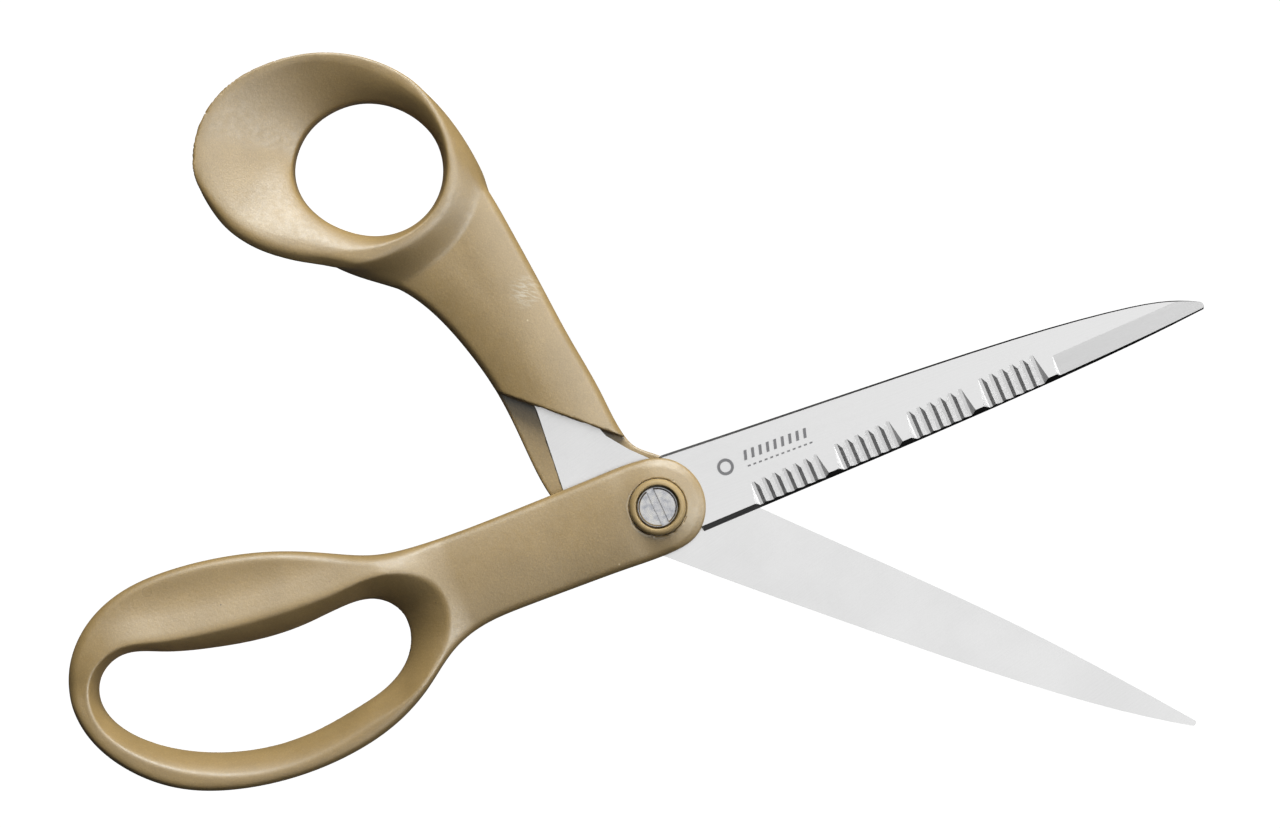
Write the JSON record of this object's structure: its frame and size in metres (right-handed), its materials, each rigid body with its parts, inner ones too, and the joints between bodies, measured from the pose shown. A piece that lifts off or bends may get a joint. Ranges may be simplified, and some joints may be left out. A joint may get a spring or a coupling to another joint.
{
  "type": "dressmaking shears",
  "caption": "Open dressmaking shears: a steel blade with pressed flute groups over a plain blade, moulded finger and thumb loops, slotted pivot screw.",
  "frame": {"origin": "the pivot axis where it crosses the shear plane between the two blades", "axes": "+X along the front blade to its tip, +Y to the side of the front blade's back, +Z along the pivot axis to the screw head"},
  "size_m": [0.2508, 0.1977, 0.0162],
  "materials": {
    "blade_steel": "lengthwise brushed, ground bevels and flutes",
    "handle_plastic": "moulded khaki composite with fine flecks, low sheen",
    "collar_plastic": "smooth moulded, low sheen",
    "hardware_steel": "turned and plated"
  },
  "bodies": {
    "front_half": {"front_blade": "blade_steel", "finger_handle": "handle_plastic", "pivot_collar": "collar_plastic"},
    "rear_half": {"rear_blade": "blade_steel", "thumb_handle": "handle_plastic", "pivot_screw": "hardware_steel", "pivot_nut": "hardware_steel", "spring_washer": "hardware_steel"}
  },
  "joints": [
    {"name": "blade_pivot", "type": "hinge", "parent": "front_half", "child": "rear_half", "pos_m": [0, 0, 0], "axis": [0, 0, 1], "range_deg": [-58, 42]}
  ]
}
